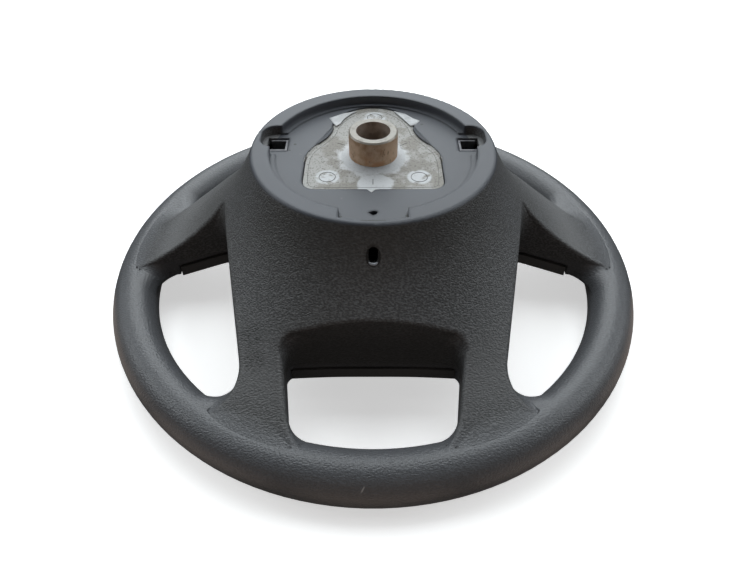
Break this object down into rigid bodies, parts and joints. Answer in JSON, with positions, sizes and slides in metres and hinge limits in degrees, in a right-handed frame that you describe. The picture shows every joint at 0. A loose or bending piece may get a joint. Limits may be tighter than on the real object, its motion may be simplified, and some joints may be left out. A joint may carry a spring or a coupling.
{
  "type": "car steering wheel",
  "caption": "Car steering wheel with a foamed rim, spokes and bell-shaped shroud over a cast armature, a serrated steel hub sleeve and a floating airbag and horn module",
  "frame": {"origin": "on the steering axis, in the plane that the face-down rim rests on", "axes": "+Z along the steering axis towards the column, +Y to 12 o'clock, +X to the right seen from the column"},
  "size_m": [0.3798, 0.3798, 0.136],
  "materials": {
    "foamed_skin": "leather-grained foam skin, smooth on the ring and floor",
    "cast_aluminium": "as cast, dull and blotchy",
    "sleeve_steel": "turned, lightly rusted on the side",
    "cover_plastic": "grained",
    "tray_steel": "dark paint, satin",
    "generator_steel": "satin",
    "zinc_steel": "zinc plated",
    "spring_steel": "drawn wire",
    "contact_brass": "satin",
    "cushion_cloth": "tight woven cloth"
  },
  "bodies": {
    "wheel": {"wheel_moulding": "foamed_skin", "armature": "cast_aluminium", "hub_sleeve": "sleeve_steel", "release_guide_left": "zinc_steel", "release_guide_right": "zinc_steel", "latch_wire_left": "spring_steel", "horn_spring_left": "spring_steel", "fixed_contact_left": "contact_brass", "latch_wire_right": "spring_steel", "horn_spring_right": "spring_steel", "fixed_contact_right": "contact_brass", "latch_wire_lower": "spring_steel", "horn_spring_lower": "spring_steel", "fixed_contact_lower": "contact_brass"},
    "airbag_module": {"airbag_cover": "cover_plastic", "module_tray": "tray_steel", "gas_generator": "generator_steel", "cushion_ring": "tray_steel", "ring_nuts": "zinc_steel", "airbag_cushion": "cushion_cloth", "cover_rivets": "zinc_steel", "hook_pin_left": "zinc_steel", "hook_pin_right": "zinc_steel", "hook_pin_lower": "zinc_steel", "moving_contact_left": "contact_brass", "moving_contact_right": "contact_brass", "moving_contact_lower": "contact_brass"}
  },
  "joints": [
    {"name": "horn_press", "type": "slide", "parent": "wheel", "child": "airbag_module", "axis": [0, 0, 1], "range_m": [0, 0.002], "stiffness_N_per_m": 8000, "springref_m": -0.004, "deforming": ["horn_spring_left", "horn_spring_right", "horn_spring_lower"]}
  ]
}
